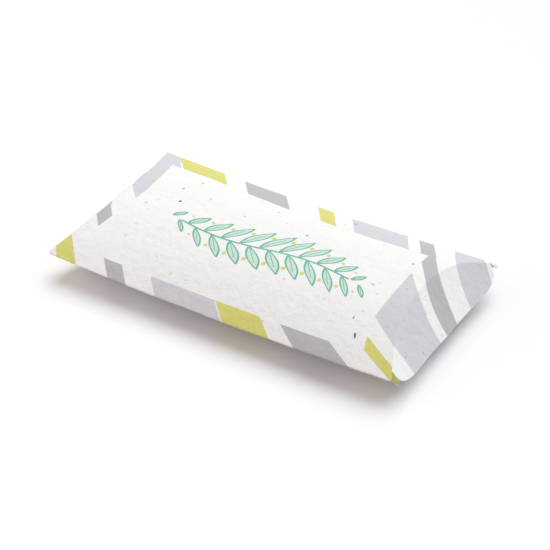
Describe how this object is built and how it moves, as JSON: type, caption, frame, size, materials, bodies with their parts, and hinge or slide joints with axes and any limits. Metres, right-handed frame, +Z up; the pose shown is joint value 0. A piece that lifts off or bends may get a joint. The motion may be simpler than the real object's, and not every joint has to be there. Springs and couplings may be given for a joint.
{
  "type": "pillow box",
  "caption": "Paper pillow box with curved panels, curved end flaps and a slanted stripe border.",
  "frame": {"origin": "middle of the flat strip along the belly that the box lies on", "axes": "+X along the box towards the sprung end, -Y towards the front fold, +Z up"},
  "size_m": [0.1843, 0.0994, 0.027],
  "materials": {
    "printed_paper": "matte",
    "bare_paper": "matte",
    "seam_glue": "satin"
  },
  "bodies": {
    "sleeve": {"top_panel": "printed_paper", "bottom_panel": "printed_paper", "front_corner_ear": "printed_paper", "back_corner_ear": "printed_paper", "glue_tab": "bare_paper", "seam_glue": "seam_glue"},
    "left_outer": {"left_outer_flap": "printed_paper"},
    "left_inner": {"left_inner_flap": "printed_paper"},
    "right_outer": {"right_outer_flap": "printed_paper"},
    "right_inner": {"right_inner_flap": "printed_paper"}
  },
  "joints": [
    {"name": "right_outer_hinge", "type": "hinge", "parent": "sleeve", "child": "right_outer", "pos_m": [0.0775, 0, 0.027], "axis": [0, -1, 0], "range_deg": [-8, 54]},
    {"name": "right_inner_hinge", "type": "hinge", "parent": "sleeve", "child": "right_inner", "pos_m": [0.0775, 0, 0], "axis": [0, 1, 0], "range_deg": [-4, 27]},
    {"name": "left_outer_hinge", "type": "hinge", "parent": "sleeve", "child": "left_outer", "pos_m": [-0.0775, 0, 0.027], "axis": [0, 1, 0], "range_deg": [0, 85]},
    {"name": "left_inner_hinge", "type": "hinge", "parent": "sleeve", "child": "left_inner", "pos_m": [-0.0775, 0, 0], "axis": [0, -1, 0], "range_deg": [0, 42.5]}
  ],
  "couplings": [
    {"joint": "right_inner_hinge", "follows": "right_outer_hinge", "ratio": 0.5},
    {"joint": "left_inner_hinge", "follows": "left_outer_hinge", "ratio": 0.5}
  ]
}
